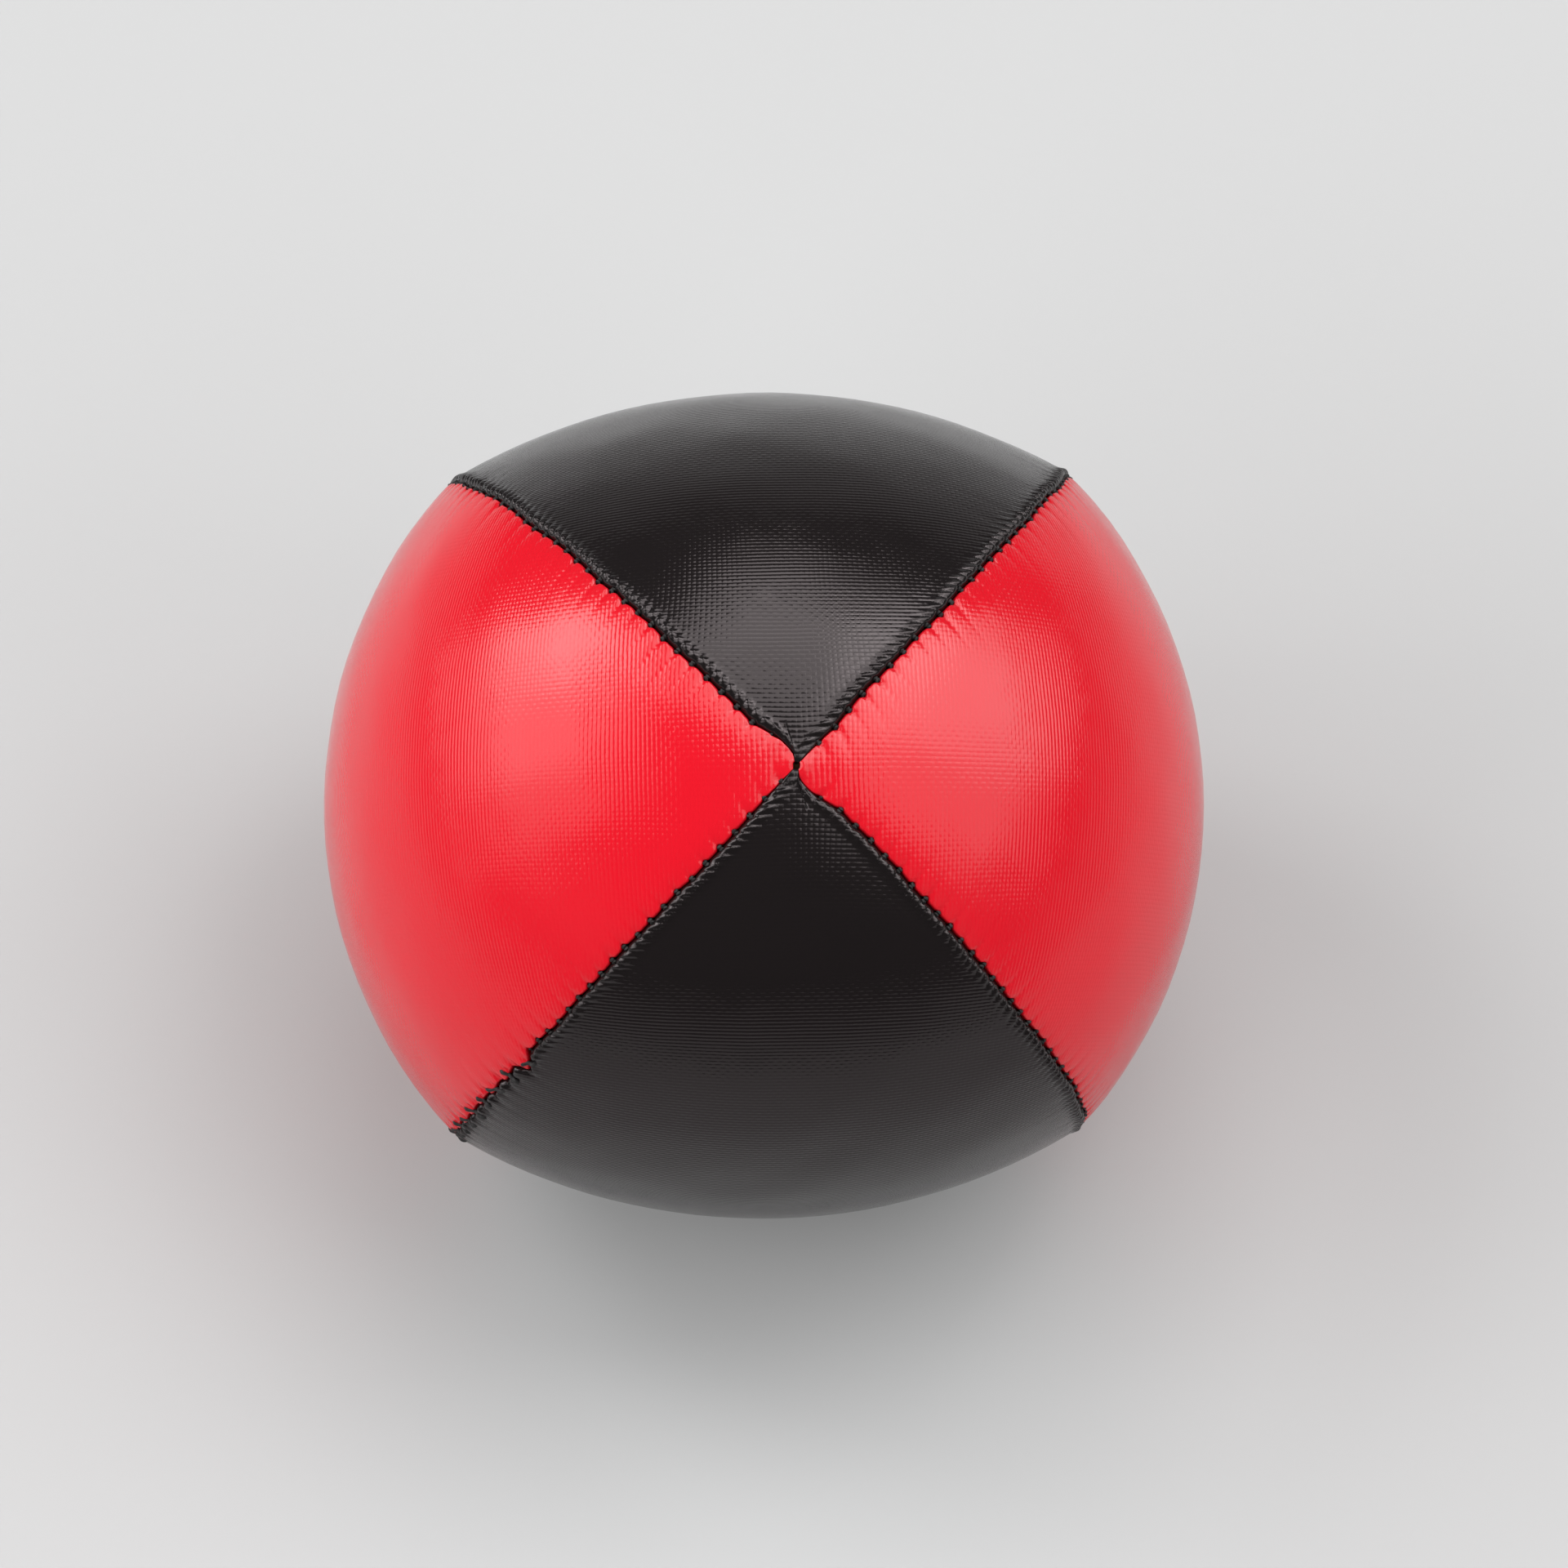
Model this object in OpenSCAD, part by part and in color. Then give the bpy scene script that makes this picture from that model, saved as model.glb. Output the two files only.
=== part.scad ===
// Four-panel juggling ball: two red and two black lens-shaped panels of coated fabric,
// sewn edge to edge with their allowances turned in, filled with millet and lying at rest.
// The front end is where the four seams meet nearest the top; the back end is opposite.

/* [Ball] */
// Distance from the middle of the ball to a seam, halfway between its ends
seam_radius = 34.2; // [30:0.1:41.1]
// Distance from the middle of the ball to either end, where the four seams meet
end_radius = 35.2; // [29:0.1:42.3]
// Radius of the curve across a red panel
red_bulge = 38.5; // [31:0.1:47]
// Radius of the curve across a black panel
black_bulge = 43.2; // [35:0.1:52]
// Angle by which each edge of a red panel lies beyond 45 degrees from its middle
red_spread = 2.4; // [-4:0.1:4]
// Fullness of the ends: 1 is round and smaller is blunter
end_fullness = 0.91; // [0.85:0.01:1]

/* [Fabric] */
// Thickness of the coated fabric
fabric = 0.8; // [0.5:0.05:1.2]
// Depth of the seam allowance below the fabric's inner face
allowance = 3; // [2:0.1:4]
// Gap between the two faces of a seam
seam_gap = 0.3; // [0.1:0.05:0.5]
// Depth of the groove along each seam, where the two faces part
groove_depth = 0.55; // [0.3:0.05:0.7]

/* [Resting] */
// Angle by which the axis through the ends is tipped forwards from upright
tip_forward = 26.3; // [0:0.1:60]
// Angle by which the axis leans to the right
lean_right = 3.9; // [-10:0.1:10]
// Angle by which the ball is turned about its own axis
turn = 1; // [-10:0.1:10]
// Share of its height that the ball keeps as its filling settles
settle = 0.86; // [0.8:0.01:1]
// Depth by which the floor presses into the underside
pressed_depth = 2.4; // [1.5:0.1:4]
// Half the height over which the pressed underside curves up into the side
pressed_blend = 0.8; // [0.3:0.1:1.2]

/* [Sewing] */
// Thickness of the sewing thread
thread = 0.3; // [0.2:0.02:0.4]
// Machine stitches along one seam, from end to end
seam_stitches = 72; // [40:1:80]
// Angle from the front end at which the hand-sewn gap begins
closing_start = 52; // [40:1:70]
// Angle from the front end at which the hand-sewn gap ends
closing_end = 104; // [90:1:130]
// Hand stitches across the gap
closing_stitches = 11; // [6:1:16]
// Distance from the middle of the seam to a hand stitch's hole
closing_reach = 0.9; // [0.6:0.1:1.4]

/* [Filling] */
// Clearance between the grain and the fabric around it
grain_clearance = 0.25; // [0.1:0.05:0.5]

/* [Hidden] */

red = [0.78, 0.03, 0.06];
black = [0.05, 0.05, 0.05];
dark_thread = [0.02, 0.02, 0.02];
straw = [0.85, 0.68, 0.33];

// Azimuths about the ball's own axis, from the right-hand side anticlockwise.
seam_upper_right = 45 + red_spread;
seam_upper_left = 135 - red_spread;
seam_lower_left = 225 + red_spread;
seam_lower_right = 315 - red_spread;

tip_angle = 0.35;
tip_steps = [tip_angle, 1.2, 2.6, 4.6, 7.2];
body_step = 6.4;
body_steps = [for (i = [2 : floor(90 / body_step) - 1]) i * body_step];
half_steps = concat(tip_steps, body_steps);
// Angles from the front end at which the sections of a panel stand, the same both ways.
sections = concat(half_steps, [90], [for (i = [len(half_steps) - 1 : -1 : 0]) 180 - half_steps[i]]);
// Faces across a panel and across the grain under it, which line up.
across = 6;

// Places where the fabric turns down into the seam, measured from the middle of the seam.
roll_in = 1.1;
roll_in_depth = 0.18;
// Shares of a panel's half width that the same places keep to near its narrow ends.
gap_share = 0.2;
roll_share = 0.4;
flange_share = 0.55;
surface_share = 0.62;
// Seam allowances are trimmed away towards the ends over this distance.
trim_from = 1.5;
trim_to = 7;
trim_left = 0.1;
// The underside is pared by this much so that the face it rests on is one true flat.
pared = 0.02;

function sharp(x) = sign(x) * pow(abs(x), end_fullness);
function reach(t) = abs(sharp(sin(t)));
function bulge_offset(half, bulge) =
    seam_radius * cos(half) - sqrt(pow(bulge, 2) - pow(seam_radius * sin(half), 2));
function arc_radius(angle, offset, bulge) =
    offset * cos(angle) + sqrt(pow(bulge, 2) - pow(offset * sin(angle), 2));
function is_red(azimuth) = abs(cos(azimuth)) > cos(45 + red_spread) - 1e-9;
function half_width(azimuth) = is_red(azimuth) ? 45 + red_spread : 45 - red_spread;
function off_middle(azimuth) =
    let (middle = (is_red(azimuth) ? 180 * round(azimuth / 180) : 180 * floor(azimuth / 180) + 90))
    azimuth - middle;
// Radius of the ball's widest section at an azimuth.
function girth(azimuth) =
    let (bulge = is_red(azimuth) ? red_bulge : black_bulge)
    arc_radius(off_middle(azimuth), bulge_offset(half_width(azimuth), bulge), bulge);

function tilt_x(p, a) = [p[0], p[1] * cos(a) - p[2] * sin(a), p[1] * sin(a) + p[2] * cos(a)];
function tilt_y(p, a) = [p[0] * cos(a) + p[2] * sin(a), p[1], p[2] * cos(a) - p[0] * sin(a)];
function tilt_z(p, a) = [p[0] * cos(a) - p[1] * sin(a), p[0] * sin(a) + p[1] * cos(a), p[2]];
function lay_down(p) = tilt_x(tilt_y(tilt_z(p, turn), lean_right), tip_forward);
function unit(v) = v / norm(v);

function upright(t, azimuth) =
    let (r = girth(azimuth) * sharp(sin(t))) [r * cos(azimuth), r * sin(azimuth), end_radius * cos(t)];
function settled(p) = let (q = lay_down(p)) [q[0], q[1], q[2] * settle];
lowest = min([for (t = sections, f = [0 : 5 : 355]) settled(upright(t, f))[2]]);
middle_height = -lowest - pressed_depth;
function pressed(z) =
    z < -pressed_blend ? 0 : z > pressed_blend ? z : pow(z + pressed_blend, 2) / (4 * pressed_blend);
function rest_on_floor(p) = [p[0], p[1], pressed(p[2] + middle_height) - pared];
// Outer face of the ball at an angle from the front end and an azimuth.
function skin(t, azimuth) = rest_on_floor(settled(upright(t, azimuth)));
// Direction straight into the ball there.
function inward(t, azimuth) =
    let (
        r = seam_radius * sharp(sin(t)),
        p = [r * cos(azimuth), r * sin(azimuth), end_radius * cos(t)],
        n = lay_down([p[0] / pow(seam_radius, 2), p[1] / pow(seam_radius, 2), p[2] / pow(end_radius, 2)])
    )
    -unit([n[0], n[1], n[2] / settle]);
// Azimuth swept by a distance sideways, kept to a share of the panel's half width.
function sideways(t, distance, half, share) =
    min(distance / (seam_radius * reach(t)) * 180 / PI, share * half);
function ease(x) = let (c = min(max(x, 0), 1)) c * c * (3 - 2 * c);
// Share of the full allowance that is left at an angle from the front end.
function untrimmed(t) = ease((seam_radius * reach(t) - trim_from) / (trim_to - trim_from));
function allowance_at(t) = trim_left + (allowance - trim_left) * untrimmed(t);

// One side of a panel's section: the points from the bottom of its allowance up to its face.
function side_outer(t, seam, way, half) =
    let (
        into = inward(t, seam),
        face = skin(t, seam + way * sideways(t, seam_gap / 2, half, gap_share)),
        shoulder = skin(t, seam + way * sideways(t, roll_in / 2, half, roll_share))
    )
    [
        face + into * (fabric + allowance_at(t)),
        face + into * groove_depth,
        shoulder + into * roll_in_depth
    ];
function side_inner(t, seam, way, half) =
    let (
        into = inward(t, seam),
        face = skin(t, seam + way * sideways(t, seam_gap / 2 + fabric, half, flange_share))
    )
    [
        face + into * (fabric + allowance_at(t)),
        face + into * (fabric + allowance_at(t) * 0.6),
        face + into * (fabric + allowance_at(t) * 0.15)
    ];
function flipped(list) = [for (i = [len(list) - 1 : -1 : 0]) list[i]];
// A panel's section: its outer points from side to side, then its inner points the same way.
function panel_section(t, middle, half) =
    let (
        inset = sideways(t, roll_in, half, surface_share),
        azimuths = [for (i = [0 : across]) middle + (half - inset) * (2 * i / across - 1)]
    )
    concat(
        side_outer(t, middle - half, 1, half),
        [for (f = azimuths) skin(t, f)],
        flipped(side_outer(t, middle + half, -1, half)),
        side_inner(t, middle - half, 1, half),
        [for (f = azimuths) skin(t, f) + inward(t, f) * fabric],
        flipped(side_inner(t, middle + half, -1, half))
    );

module panel(middle, half) {
    rings = [for (t = sections) panel_section(t, middle, half)];
    full = len(rings[0]);
    wide = full / 2;
    last = len(rings) - 1;
    outer = [for (s = [0 : last - 1], i = [0 : wide - 2])
        [s * full + i, (s + 1) * full + i, (s + 1) * full + i + 1, s * full + i + 1]];
    inner = [for (s = [0 : last - 1], i = [wide : full - 2])
        [s * full + i, s * full + i + 1, (s + 1) * full + i + 1, (s + 1) * full + i]];
    edges = [for (s = [0 : last - 1], e = [[0, wide], [full - 1, wide - 1]])
        [s * full + e[0], s * full + e[1], (s + 1) * full + e[1], (s + 1) * full + e[0]]];
    front_tip = [for (i = [0 : wide - 2]) [i, i + 1, wide + i + 1, wide + i]];
    back_tip = [for (i = [0 : wide - 2])
        [last * full + i, last * full + wide + i, last * full + wide + i + 1, last * full + i + 1]];
    below = 5;
    difference() {
        polyhedron(
            points = [for (ring = rings, p = ring) p],
            faces = concat(outer, inner, edges, front_tip, back_tip)
        );
        translate([-seam_radius, -seam_radius, -below]) cube([2 * seam_radius, 2 * seam_radius, below]);
    }
}

// Depth at which the two threads of a machine stitch lock, down in the groove.
lock_depth = groove_depth;
// Place of a stitch's run on the inside of the allowance.
run_aside = seam_gap / 2 + fabric + thread / 2 + 0.05;
run_depth = fabric + thread / 2 + 0.15;
lock_aside = thread / 2 + 0.02;

// A seam followed right round the ball: 0 is the front end and 180 the back end.
function seam_point(a, seam) = a <= 180 ? skin(a, seam) : skin(360 - a, seam + 180);
function seam_inward(a, seam) = a <= 180 ? inward(a, seam) : inward(360 - a, seam + 180);
function seam_way(a, seam) =
    unit(seam_point((a + 361) % 360, seam) - seam_point((a + 359) % 360, seam));
// A point beside a seam, so far to its left and so deep.
function beside(a, seam, aside, depth) =
    let (into = seam_inward(a, seam), along = seam_way(a, seam))
    seam_point(a, seam) + unit(cross(along, into)) * aside + into * depth;

// Route of one thread of a machine seam: a lock in the groove, then a run on the inside.
function machine_route(seam, from, to, stitches, side) = [
    for (i = [0 : stitches], part = [0, 1])
        if (i < stitches || part == 0)
            let (a = (from + (to - from) * (i + part / 2) / stitches + 360) % 360)
            part == 0 ? beside(a, seam, side * lock_aside, lock_depth)
                : beside(a, seam, side * run_aside, run_depth)
];
// Route of the hand sewing: over the groove and back under it.
function hand_route(seam, from, to, stitches) = [
    for (i = [0 : stitches], part = [0 : 2])
        let (
            step = (to - from) / (stitches + 1),
            side = i % 2 == 0 ? 1 : -1,
            a = from + step * (i + part / 3)
        )
        part == 0 ? beside(a, seam, side * closing_reach, roll_in_depth + thread)
            : part == 1 ? beside(a, seam, side * closing_reach * 0.5, roll_in_depth)
            : beside(a, seam, -side * closing_reach * 0.5, roll_in_depth)
];

tube_sides = 4;
module thread_tube(route) {
    last = len(route) - 1;
    middle = [0, 0, middle_height];
    rings = [for (i = [0 : last])
        let (
            way = unit(route[min(i + 1, last)] - route[max(i - 1, 0)]),
            out = unit(route[i] - middle),
            side = unit(cross(way, out)),
            up = cross(side, way)
        )
        [for (k = [0 : tube_sides - 1])
            let (angle = 360 * k / tube_sides + 45)
            route[i] + thread / 2 * (side * cos(angle) + up * sin(angle))]];
    walls = [for (i = [0 : last - 1], k = [0 : tube_sides - 1])
        let (next = (k + 1) % tube_sides)
        [i * tube_sides + k, i * tube_sides + next, (i + 1) * tube_sides + next, (i + 1) * tube_sides + k]];
    start = [for (k = [tube_sides - 1 : -1 : 0]) k];
    end = [for (k = [0 : tube_sides - 1]) last * tube_sides + k];
    polyhedron(points = [for (ring = rings, p = ring) p], faces = concat(walls, [start], [end]));
}

first_stitch = 5;
half_seam_stitches = seam_stitches - 3;
joining_stitches = round(seam_stitches * (360 - (closing_end - closing_start)) / 180);

// The joining seam runs on round from the closing gap's far side to its near side.
module joining_thread(side)
    thread_tube(machine_route(
        seam_lower_left, closing_end, closing_start + 360, joining_stitches, side));
module half_seam_thread(seam, side)
    thread_tube(machine_route(seam, first_stitch, 180 - first_stitch, half_seam_stitches, side));

module red_panel_left() color(red) panel(180, 45 + red_spread);
module red_panel_right() color(red) panel(0, 45 + red_spread);
module black_panel_top() color(black) panel(90, 45 - red_spread);
module black_panel_bottom() color(black) panel(270, 45 - red_spread);
module first_half_needle_thread() color(dark_thread) half_seam_thread(seam_upper_left, 1);
module first_half_bobbin_thread() color(dark_thread) half_seam_thread(seam_upper_left, -1);
module second_half_needle_thread() color(dark_thread) half_seam_thread(seam_lower_right, 1);
module second_half_bobbin_thread() color(dark_thread) half_seam_thread(seam_lower_right, -1);
module joining_needle_thread() color(dark_thread) joining_thread(1);
module joining_bobbin_thread() color(dark_thread) joining_thread(-1);
module closing_thread()
    color(dark_thread)
    thread_tube(hand_route(seam_lower_left, closing_start, closing_end, closing_stitches));

// The grain fills the ball up to the fabric and stands back from the allowances and threads.
clear_of_seam = run_aside + thread / 2 + grain_clearance;
// Depth that a stitch's run takes below the fabric, which the grain also leaves at the ends.
thread_room = run_depth + thread / 2 - fabric;
function fill_quarter(t, from, to) =
    let (
        half = (to - from) / 2,
        slot = sideways(t, clear_of_seam, half, surface_share),
        floor_depth = fabric + grain_clearance + max(allowance_at(t), thread_room),
        top_depth = fabric + grain_clearance + thread_room * (1 - untrimmed(t))
    )
    concat(
        [for (f = [from, from + slot]) skin(t, f) + inward(t, from) * floor_depth],
        [for (i = [0 : across])
            let (f = from + slot + (to - from - 2 * slot) * i / across)
            skin(t, f) + inward(t, i == 0 ? from : i == across ? to : f) * top_depth],
        [skin(t, to - slot) + inward(t, to) * floor_depth]
    );
function fill_ring(t) = concat(
    fill_quarter(t, seam_lower_right - 360, seam_upper_right),
    fill_quarter(t, seam_upper_right, seam_upper_left),
    fill_quarter(t, seam_upper_left, seam_lower_left),
    fill_quarter(t, seam_lower_left, seam_lower_right)
);
module millet_fill() color(straw) {
    used = [for (t = sections) if (t > tip_steps[1] && t < 180 - tip_steps[1]) t];
    rings = [for (t = used) fill_ring(t)];
    round_count = len(rings[0]);
    last = len(rings) - 1;
    walls = [for (s = [0 : last - 1], i = [0 : round_count - 1])
        let (next = (i + 1) % round_count)
        [s * round_count + i, (s + 1) * round_count + i, (s + 1) * round_count + next, s * round_count + next]];
    front = [for (i = [0 : round_count - 1]) i];
    back = [for (i = [round_count - 1 : -1 : 0]) last * round_count + i];
    polyhedron(points = [for (ring = rings, p = ring) p], faces = concat(walls, [front], [back]));
}

red_panel_left();
red_panel_right();
black_panel_top();
black_panel_bottom();
first_half_needle_thread();
first_half_bobbin_thread();
second_half_needle_thread();
second_half_bobbin_thread();
joining_needle_thread();
joining_bobbin_thread();
closing_thread();
millet_fill();
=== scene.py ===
"""Four-panel juggling ball: two red and two black panels of coated cloth sewn round millet.

Sizes in the classes are millimetres and degrees, as the ball's maker writes them. Meshes are
metres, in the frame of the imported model: the ball lies on z = 0 under its own weight.
"""

from __future__ import annotations

import logging
import math
from dataclasses import dataclass, field
from enum import Enum
from typing import Sequence

import bpy
import numpy as np
from mathutils import Euler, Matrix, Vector


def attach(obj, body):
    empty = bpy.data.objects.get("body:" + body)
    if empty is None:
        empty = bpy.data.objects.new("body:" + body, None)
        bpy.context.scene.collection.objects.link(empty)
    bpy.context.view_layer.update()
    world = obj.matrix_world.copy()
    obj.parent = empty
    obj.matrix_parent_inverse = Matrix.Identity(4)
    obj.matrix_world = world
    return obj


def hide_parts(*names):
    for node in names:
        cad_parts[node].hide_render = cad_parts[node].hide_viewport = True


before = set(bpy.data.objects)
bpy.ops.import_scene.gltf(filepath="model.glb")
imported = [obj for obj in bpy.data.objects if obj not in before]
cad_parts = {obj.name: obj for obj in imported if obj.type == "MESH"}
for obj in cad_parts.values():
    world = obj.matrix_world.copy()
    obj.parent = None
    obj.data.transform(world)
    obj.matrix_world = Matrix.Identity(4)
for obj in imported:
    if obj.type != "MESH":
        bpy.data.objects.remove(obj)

LOG = logging.getLogger("juggling_ball")
MM = 0.001
GOLDEN_ANGLE = 137.50776


# ---------------------------------------------------------------------------
# Small helpers
# ---------------------------------------------------------------------------


def ease(x: np.ndarray) -> np.ndarray:
    """Smooth step from 0 to 1 as x goes from 0 to 1."""
    c = np.clip(x, 0.0, 1.0)
    return c * c * (3.0 - 2.0 * c)


def unit(v: np.ndarray) -> np.ndarray:
    """Vectors scaled to length 1 along the last axis."""
    return v / np.linalg.norm(v, axis=-1, keepdims=True)


def bell(x: np.ndarray, middle: float, spread: float) -> np.ndarray:
    """Smooth hump of height 1."""
    return np.exp(-(((x - middle) / spread) ** 2))


def ripple(x: np.ndarray, pitch: float, seed: int) -> np.ndarray:
    """Smooth random curve from -1 to 1.

    Args:
        x: where to read it, 0 or more.
        pitch: distance between its turns.
        seed: which curve.

    Returns:
        Its value at each place.
    """
    place = np.maximum(x, 0.0) / pitch
    knot = np.floor(place).astype(int)
    heights = np.random.default_rng(seed).uniform(-1.0, 1.0, int(knot.max()) + 2)
    return heights[knot] + (heights[knot + 1] - heights[knot]) * ease(place - knot)


def turned(p: np.ndarray, axis: str, degrees: float) -> np.ndarray:
    """Points turned about one axis through the origin.

    Args:
        p: points, with x, y and z along the last axis.
        axis: "x", "y" or "z".
        degrees: angle, by the right-hand rule.

    Returns:
        The turned points.
    """
    c, s = math.cos(math.radians(degrees)), math.sin(math.radians(degrees))
    x, y, z = p[..., 0], p[..., 1], p[..., 2]
    if axis == "x":
        return np.stack([x, y * c - z * s, y * s + z * c], -1)
    if axis == "y":
        return np.stack([x * c + z * s, y, z * c - x * s], -1)
    return np.stack([x * c - y * s, x * s + y * c, z], -1)


def make_mesh(name: str, points: np.ndarray, faces: np.ndarray | list) -> bpy.types.Object:
    """Mesh object from points in millimetres, placed in the scene at the origin.

    Args:
        name: the object's name.
        points: vertex places in millimetres.
        faces: vertex numbers of each face.

    Returns:
        The new object, smooth shaded.
    """
    mesh = bpy.data.meshes.new(name)
    mesh.from_pydata((points * MM).tolist(), [], [tuple(f) for f in faces])
    mesh.validate()
    mesh.shade_smooth()
    made = bpy.data.objects.new(name, mesh)
    bpy.context.scene.collection.objects.link(made)
    return made


def rings_to_skin(rings: np.ndarray) -> tuple[np.ndarray, list[list[int]]]:
    """Join rings of points into one closed skin with both ends capped.

    Args:
        rings: points by ring, by place round the ring.

    Returns:
        The points in one list, and the vertex numbers of each face.
    """
    count, wide = rings.shape[:2]
    r, c = np.meshgrid(np.arange(count - 1), np.arange(wide), indexing="ij")
    n = (c + 1) % wide
    faces = np.stack([r * wide + c, (r + 1) * wide + c, (r + 1) * wide + n, r * wide + n], -1)
    faces = faces.reshape(-1, 4).tolist()
    faces.append(list(range(wide)))
    faces.append([(count - 1) * wide + i for i in range(wide - 1, -1, -1)])
    return rings.reshape(-1, 3), faces


def write_attribute(piece: bpy.types.Object, name: str, values: np.ndarray) -> None:
    """Store one vector for each vertex, which the piece's material reads.

    Args:
        piece: the mesh object.
        name: the attribute's name.
        values: one row of three numbers for each vertex.
    """
    layer = piece.data.attributes.new(name, "FLOAT_VECTOR", "POINT")
    layer.data.foreach_set("vector", np.asarray(values, np.float32).ravel())


# ---------------------------------------------------------------------------
# The ball's form
# ---------------------------------------------------------------------------


class Seam(Enum):
    """The four seams, by where each lies about the ball's own axis."""

    UPPER_RIGHT = (45, 1)
    UPPER_LEFT = (135, -1)
    LOWER_LEFT = (225, 1)
    LOWER_RIGHT = (315, -1)

    def azimuth(self, spread: float) -> float:
        """Azimuth of the seam when each red panel spreads so far beyond 45 degrees."""
        quarter, way = self.value
        return quarter + way * spread


@dataclass(frozen=True)
class BallShape:
    """Outer form of the ball as it lies settled, with its sizes in millimetres and degrees.

    Args:
        seam_radius: distance from the ball's middle to a seam, halfway between its ends.
        end_radius: distance from the middle to either end, where the four seams meet.
        red_bulge: radius of the curve across a red panel.
        black_bulge: radius of the curve across a black panel.
        red_spread: angle by which each edge of a red panel lies beyond 45 degrees.
        end_fullness: fullness of the ends; 1 is round and smaller is blunter.
        tip_forward: angle by which the axis through the ends is tipped forwards from upright.
        lean_right: angle by which the axis leans to the right.
        turn: angle by which the ball is turned about its own axis.
        settle: share of its height that the ball keeps as its filling settles.
        pressed_depth: depth by which the floor presses into the underside.
        pressed_blend: half the height over which the pressed underside curves up.
        fabric: thickness of the coated cloth.
        allowance: depth of the seam allowance below the cloth's inner face.
        seam_gap: gap between the two faces of a seam.
        groove_depth: depth of the groove along each seam.
        trim_from: distance from the axis at which the allowance is trimmed right away.
        trim_to: distance from the axis from which all of it is left.
        trim_left: depth of the allowance that is left at the ends.
    """

    seam_radius: float = 34.2
    end_radius: float = 35.2
    red_bulge: float = 38.5
    black_bulge: float = 43.2
    red_spread: float = 2.4
    end_fullness: float = 0.91
    tip_forward: float = 26.3
    lean_right: float = 3.9
    turn: float = 1.0
    settle: float = 0.86
    pressed_depth: float = 2.4
    pressed_blend: float = 0.8
    fabric: float = 0.8
    allowance: float = 3.0
    seam_gap: float = 0.3
    groove_depth: float = 0.55
    trim_from: float = 1.5
    trim_to: float = 7.0
    trim_left: float = 0.1

    def reach(self, t: np.ndarray) -> np.ndarray:
        """Share of its girth that the ball has at an angle from the front end."""
        return np.abs(np.sin(np.radians(t))) ** self.end_fullness

    def girth(self, azimuth: np.ndarray) -> np.ndarray:
        """Radius of the ball's widest section, with each panel an arc between two seams.

        Args:
            azimuth: angles about the ball's own axis.

        Returns:
            The radius at each azimuth.
        """
        turn = np.mod(azimuth, 360.0)
        red_half = 45.0 + self.red_spread
        is_red = np.abs(np.cos(np.radians(turn))) > math.cos(math.radians(red_half)) - 1e-9
        middle = np.where(is_red, 180 * np.round(turn / 180), 180 * np.floor(turn / 180) + 90)
        half = np.radians(np.where(is_red, red_half, 90 - red_half))
        bulge = np.where(is_red, self.red_bulge, self.black_bulge)
        chord = self.seam_radius * np.sin(half)
        offset = self.seam_radius * np.cos(half) - np.sqrt(bulge**2 - chord**2)
        angle = np.radians(turn - middle)
        return offset * np.cos(angle) + np.sqrt(bulge**2 - (offset * np.sin(angle)) ** 2)

    def laid(self, p: np.ndarray) -> np.ndarray:
        """Points turned from upright to the way the ball lies."""
        leaning = turned(turned(p, "z", self.turn), "y", self.lean_right)
        return turned(leaning, "x", self.tip_forward)

    def settled(self, t: np.ndarray, azimuth: np.ndarray) -> np.ndarray:
        """Outer points before the floor presses in, measured from the ball's middle.

        Args:
            t: angles from the front end.
            azimuth: angles about the ball's own axis.

        Returns:
            Points in millimetres.
        """
        r = self.girth(azimuth) * self.reach(t)
        a = np.radians(azimuth)
        z = self.end_radius * np.cos(np.radians(t)) * np.ones_like(r)
        p = self.laid(np.stack([r * np.cos(a), r * np.sin(a), z], -1))
        return p * np.array([1.0, 1.0, self.settle])

    @property
    def middle_height(self) -> float:
        """Height of the ball's middle above the floor."""
        t, azimuth = np.meshgrid(np.linspace(1, 179, 90), np.arange(0, 360, 4.0))
        return float(-self.settled(t, azimuth)[..., 2].min() - self.pressed_depth)

    def pressed(self, z: np.ndarray) -> np.ndarray:
        """Heights above the floor once the underside is pressed flat against it.

        Args:
            z: heights before that.

        Returns:
            Heights of 0 or more.
        """
        blend = self.pressed_blend
        curve = (z + blend) ** 2 / (4 * blend)
        return np.where(z < -blend, 0.0, np.where(z > blend, z, curve))

    def skin(self, t: np.ndarray, azimuth: np.ndarray) -> np.ndarray:
        """Outer points of the ball, which rests on z = 0.

        Args:
            t: angles from the front end.
            azimuth: angles about the ball's own axis.

        Returns:
            Points in millimetres.
        """
        p = self.settled(t, azimuth)
        p[..., 2] = self.pressed(p[..., 2] + self.middle_height)
        return p

    def inward(self, t: np.ndarray, azimuth: np.ndarray) -> np.ndarray:
        """Directions straight into the ball.

        Args:
            t: angles from the front end.
            azimuth: angles about the ball's own axis.

        Returns:
            Vectors of length 1.
        """
        a, r = np.radians(azimuth), self.seam_radius * self.reach(t)
        z = self.end_radius * np.cos(np.radians(t)) * np.ones_like(r * a)
        n = np.stack([
            r * np.cos(a) / self.seam_radius**2,
            r * np.sin(a) / self.seam_radius**2,
            z / self.end_radius**2,
        ], -1)
        return -unit(self.laid(n) / np.array([1.0, 1.0, self.settle]))

    def allowance_at(self, t: np.ndarray) -> np.ndarray:
        """Depth of the seam allowance, which is trimmed away towards the ends."""
        left = ease((self.seam_radius * self.reach(t) - self.trim_from) / (self.trim_to - self.trim_from))
        return self.trim_left + (self.allowance - self.trim_left) * left


# ---------------------------------------------------------------------------
# Sewing
# ---------------------------------------------------------------------------


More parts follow.
